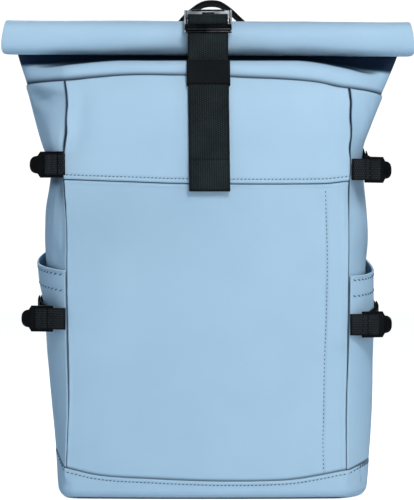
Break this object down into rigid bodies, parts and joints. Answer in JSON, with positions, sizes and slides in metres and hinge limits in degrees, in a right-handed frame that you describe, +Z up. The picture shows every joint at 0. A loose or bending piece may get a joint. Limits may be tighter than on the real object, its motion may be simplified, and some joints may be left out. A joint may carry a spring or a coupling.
{
  "type": "rolltop backpack",
  "caption": "Rolltop backpack of smooth coated fabric with a rolled collar, a hooked centre strap, side pockets, side compression straps and padded shoulder straps.",
  "frame": {"origin": "middle of the flat base, on the surface the bag stands on", "axes": "+Z up, -Y towards the front with the centre strap, +X towards the viewer's right when facing the front"},
  "size_m": [0.39, 0.2096, 0.4726],
  "materials": {
    "shell": "smooth coated fabric, semi-matt",
    "webbing": "ribbed webbing, matt",
    "elastic": "ribbed elastic, matt",
    "buckle": "black, satin",
    "hook": "blackened steel with worn bright edges",
    "mesh": "spacer mesh over foam, matt"
  },
  "bodies": {
    "root": {"front_upper_panel": "shell", "front_pocket_panel": "shell", "side_panel_right": "shell", "side_panel_left": "shell", "back_panel": "shell", "base_panel": "shell", "collar": "shell", "roll": "shell", "side_pocket_right": "shell", "side_pocket_left": "shell", "buckle_left_upper": "buckle", "anchor_web_left_upper": "webbing", "compression_web_left_upper": "webbing", "buckle_right_upper": "buckle", "anchor_web_right_upper": "webbing", "compression_web_right_upper": "webbing", "buckle_left_lower": "buckle", "anchor_web_left_lower": "webbing", "compression_web_left_lower": "webbing", "buckle_right_lower": "buckle", "anchor_web_right_lower": "webbing", "compression_web_right_lower": "webbing", "centre_strap": "webbing", "strap_keeper": "elastic", "metal_hook": "hook", "hook_strap": "webbing", "haul_loop": "webbing", "back_pad": "mesh", "shoulder_pad_left": "mesh", "shoulder_buckle_left": "buckle", "shoulder_anchor_left": "webbing", "shoulder_web_left": "webbing", "shoulder_pad_right": "mesh", "shoulder_buckle_right": "buckle", "shoulder_anchor_right": "webbing", "shoulder_web_right": "webbing"}
  },
  "joints": []
}
